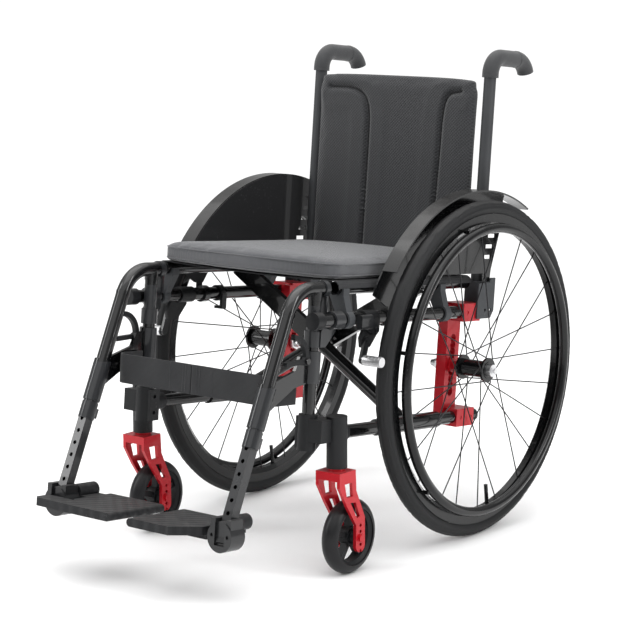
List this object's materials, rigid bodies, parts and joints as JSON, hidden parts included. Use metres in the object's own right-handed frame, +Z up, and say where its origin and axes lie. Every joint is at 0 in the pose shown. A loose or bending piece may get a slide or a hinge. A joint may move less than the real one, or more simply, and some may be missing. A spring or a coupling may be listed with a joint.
{
  "type": "manual wheelchair",
  "caption": "Folding manual wheelchair with a cross-brace, swing-away legrests, flip-up footplates, side guards, wheel locks and quick-release rear wheels.",
  "frame": {"origin": "on the ground, in the middle of the chair's plan", "axes": "+Z up, -Y towards the front of the chair, +X towards the occupant's left"},
  "size_m": [0.571, 0.9722, 0.8566],
  "materials": {
    "black_frame": "gloss powder coat",
    "red_paint": "satin powder coat",
    "grey_plastic": "satin",
    "black_plastic": "satin",
    "grip_rubber": "matt",
    "caster_rubber": "satin",
    "tyre_rubber": "matt",
    "black_aluminium": "gloss anodised",
    "dark_metal": "satin",
    "bright_aluminium": "bright",
    "silver_metal": "bright",
    "grey_metal": "satin anodised",
    "webbing": "woven",
    "seat_fabric": "woven",
    "back_fabric": "mesh"
  },
  "bodies": {
    "frame_right": {"upper_tube_right": "black_frame", "lower_rail_right": "black_frame", "front_post_right": "black_frame", "caster_housing_right": "black_frame", "axle_column_right": "red_paint", "back_bracket_right": "grey_plastic", "backrest_cane_right": "black_frame", "push_grip_right": "grip_rubber", "side_guard_right": "black_plastic", "tube_fittings_right": "grey_plastic", "brake_mount_right": "black_plastic", "seat_sling": "webbing", "seat_cushion": "seat_fabric", "back_upholstery": "back_fabric"},
    "frame_left": {"upper_tube_left": "black_frame", "lower_rail_left": "black_frame", "front_post_left": "black_frame", "caster_housing_left": "black_frame", "axle_column_left": "red_paint", "back_bracket_left": "grey_plastic", "backrest_cane_left": "black_frame", "push_grip_left": "grip_rubber", "side_guard_left": "black_plastic", "tube_fittings_left": "grey_plastic", "brake_mount_left": "black_plastic"},
    "brace_arm_rear": {"brace_rear": "black_frame"},
    "brace_arm_front": {"brace_front": "black_frame", "brace_pivot": "silver_metal"},
    "legrest_left": {"hanger_left": "black_frame", "legrest_tube_left": "grey_metal", "calf_strap_left": "webbing"},
    "release_left": {"release_lever_left": "black_plastic"},
    "foot_left": {"footplate_left": "black_plastic"},
    "fork_left": {"caster_fork_left": "red_paint"},
    "caster_left": {"caster_tyre_left": "caster_rubber", "caster_core_left": "black_plastic"},
    "wheel_left": {"wheel_tyre_left": "tyre_rubber", "wheel_rim_left": "black_aluminium", "wheel_spokes_left": "dark_metal", "wheel_hub_left": "black_aluminium", "handrim_left": "black_aluminium"},
    "button_left": {"axle_button_left": "silver_metal"},
    "lever_left": {"brake_lever_left": "dark_metal"},
    "shoe_left": {"brake_shoe_left": "bright_aluminium"},
    "legrest_right": {"hanger_right": "black_frame", "legrest_tube_right": "grey_metal", "calf_strap_right": "webbing"},
    "release_right": {"release_lever_right": "black_plastic"},
    "foot_right": {"footplate_right": "black_plastic"},
    "fork_right": {"caster_fork_right": "red_paint"},
    "caster_right": {"caster_tyre_right": "caster_rubber", "caster_core_right": "black_plastic"},
    "wheel_right": {"wheel_tyre_right": "tyre_rubber", "wheel_rim_right": "black_aluminium", "wheel_spokes_right": "dark_metal", "wheel_hub_right": "black_aluminium", "handrim_right": "black_aluminium"},
    "button_right": {"axle_button_right": "silver_metal"},
    "lever_right": {"brake_lever_right": "dark_metal"},
    "shoe_right": {"brake_shoe_right": "bright_aluminium"}
  },
  "joints": [
    {"name": "fold", "type": "hinge", "parent": "frame_right", "child": "brace_arm_rear", "pos_m": [-0.204, 0.06283, 0.21945], "axis": [0, -0.9954, 0.0958], "range_deg": [0, 36], "deforming": ["seat_sling", "seat_cushion", "back_upholstery", "calf_strap_left", "calf_strap_right"]},
    {"name": "brace_cross", "type": "hinge", "parent": "brace_arm_rear", "child": "brace_arm_front", "pos_m": [0, 0.05589, 0.34559], "axis": [0, 0.9954, -0.0958], "range_deg": [0, 72]},
    {"name": "side_close", "type": "hinge", "parent": "brace_arm_front", "child": "frame_left", "pos_m": [0.204, 0.026, 0.22299], "axis": [0, -0.9954, 0.0958], "range_deg": [0, 36]},
    {"name": "legrest_swing_left", "type": "hinge", "parent": "frame_left", "child": "legrest_left", "pos_m": [0.1809, -0.20629, 0.39806], "axis": [0, 0.0958, 0.9954], "range_deg": [0, 90]},
    {"name": "legrest_release_left", "type": "hinge", "parent": "legrest_left", "child": "release_left", "pos_m": [0.1879, -0.23504, 0.37069], "axis": [1, 0, 0], "range_deg": [0, 10], "stiffness_Nm_per_rad": 0.3, "springref_deg": -8.59},
    {"name": "footplate_flip_left", "type": "hinge", "parent": "legrest_left", "child": "foot_left", "pos_m": [0.1689, -0.38476, 0.12792], "axis": [0, 0.9954, -0.0958], "range_deg": [0, 90]},
    {"name": "caster_swivel_left", "type": "hinge", "parent": "frame_left", "child": "fork_left", "pos_m": [0.217, -0.18688, 0.2], "axis": [0, 0, 1], "continuous": true},
    {"name": "caster_spin_left", "type": "hinge", "parent": "fork_left", "child": "caster_left", "pos_m": [0.217, -0.15388, 0.064], "axis": [1, 0, 0], "continuous": true},
    {"name": "wheel_spin_left", "type": "hinge", "parent": "frame_left", "child": "wheel_left", "pos_m": [0.249, 0.18612, 0.3], "axis": [1, 0, 0], "continuous": true},
    {"name": "axle_button_left", "type": "slide", "parent": "frame_left", "child": "button_left", "axis": [-1, 0, 0], "range_m": [0, 0.003], "stiffness_N_per_m": 400, "springref_m": -0.002},
    {"name": "brake_lever_left", "type": "hinge", "parent": "frame_left", "child": "lever_left", "pos_m": [0.219, -0.09288, 0.40724], "axis": [-1, 0, 0], "range_deg": [0, 55]},
    {"name": "brake_shoe_left", "type": "hinge", "parent": "frame_left", "child": "shoe_left", "pos_m": [0.219, -0.11153, 0.39095], "axis": [1, 0, 0], "range_deg": [0, 11]},
    {"name": "legrest_swing_right", "type": "hinge", "parent": "frame_right", "child": "legrest_right", "pos_m": [-0.1809, -0.20629, 0.39806], "axis": [0, -0.0958, -0.9954], "range_deg": [0, 90]},
    {"name": "legrest_release_right", "type": "hinge", "parent": "legrest_right", "child": "release_right", "pos_m": [-0.1879, -0.23504, 0.37069], "axis": [1, 0, 0], "range_deg": [0, 10], "stiffness_Nm_per_rad": 0.3, "springref_deg": -8.59},
    {"name": "footplate_flip_right", "type": "hinge", "parent": "legrest_right", "child": "foot_right", "pos_m": [-0.1689, -0.38476, 0.12792], "axis": [0, -0.9954, 0.0958], "range_deg": [0, 90]},
    {"name": "caster_swivel_right", "type": "hinge", "parent": "frame_right", "child": "fork_right", "pos_m": [-0.217, -0.18688, 0.2], "axis": [0, 0, 1], "continuous": true},
    {"name": "caster_spin_right", "type": "hinge", "parent": "fork_right", "child": "caster_right", "pos_m": [-0.217, -0.15388, 0.064], "axis": [1, 0, 0], "continuous": true},
    {"name": "wheel_spin_right", "type": "hinge", "parent": "frame_right", "child": "wheel_right", "pos_m": [-0.249, 0.18612, 0.3], "axis": [1, 0, 0], "continuous": true},
    {"name": "axle_button_right", "type": "slide", "parent": "frame_right", "child": "button_right", "axis": [1, 0, 0], "range_m": [0, 0.003], "stiffness_N_per_m": 400, "springref_m": -0.002},
    {"name": "brake_lever_right", "type": "hinge", "parent": "frame_right", "child": "lever_right", "pos_m": [-0.219, -0.09288, 0.40724], "axis": [-1, 0, 0], "range_deg": [0, 55]},
    {"name": "brake_shoe_right", "type": "hinge", "parent": "frame_right", "child": "shoe_right", "pos_m": [-0.219, -0.11153, 0.39095], "axis": [1, 0, 0], "range_deg": [0, 11]}
  ],
  "couplings": [
    {"joint": "brace_cross", "follows": "fold", "ratio": 2},
    {"joint": "side_close", "follows": "fold", "ratio": 1},
    {"joint": "footplate_flip_left", "follows": "fold", "ratio": 2.5},
    {"joint": "brake_shoe_left", "follows": "brake_lever_left", "ratio": 0.2},
    {"joint": "footplate_flip_right", "follows": "fold", "ratio": 2.5},
    {"joint": "brake_shoe_right", "follows": "brake_lever_right", "ratio": 0.2}
  ]
}
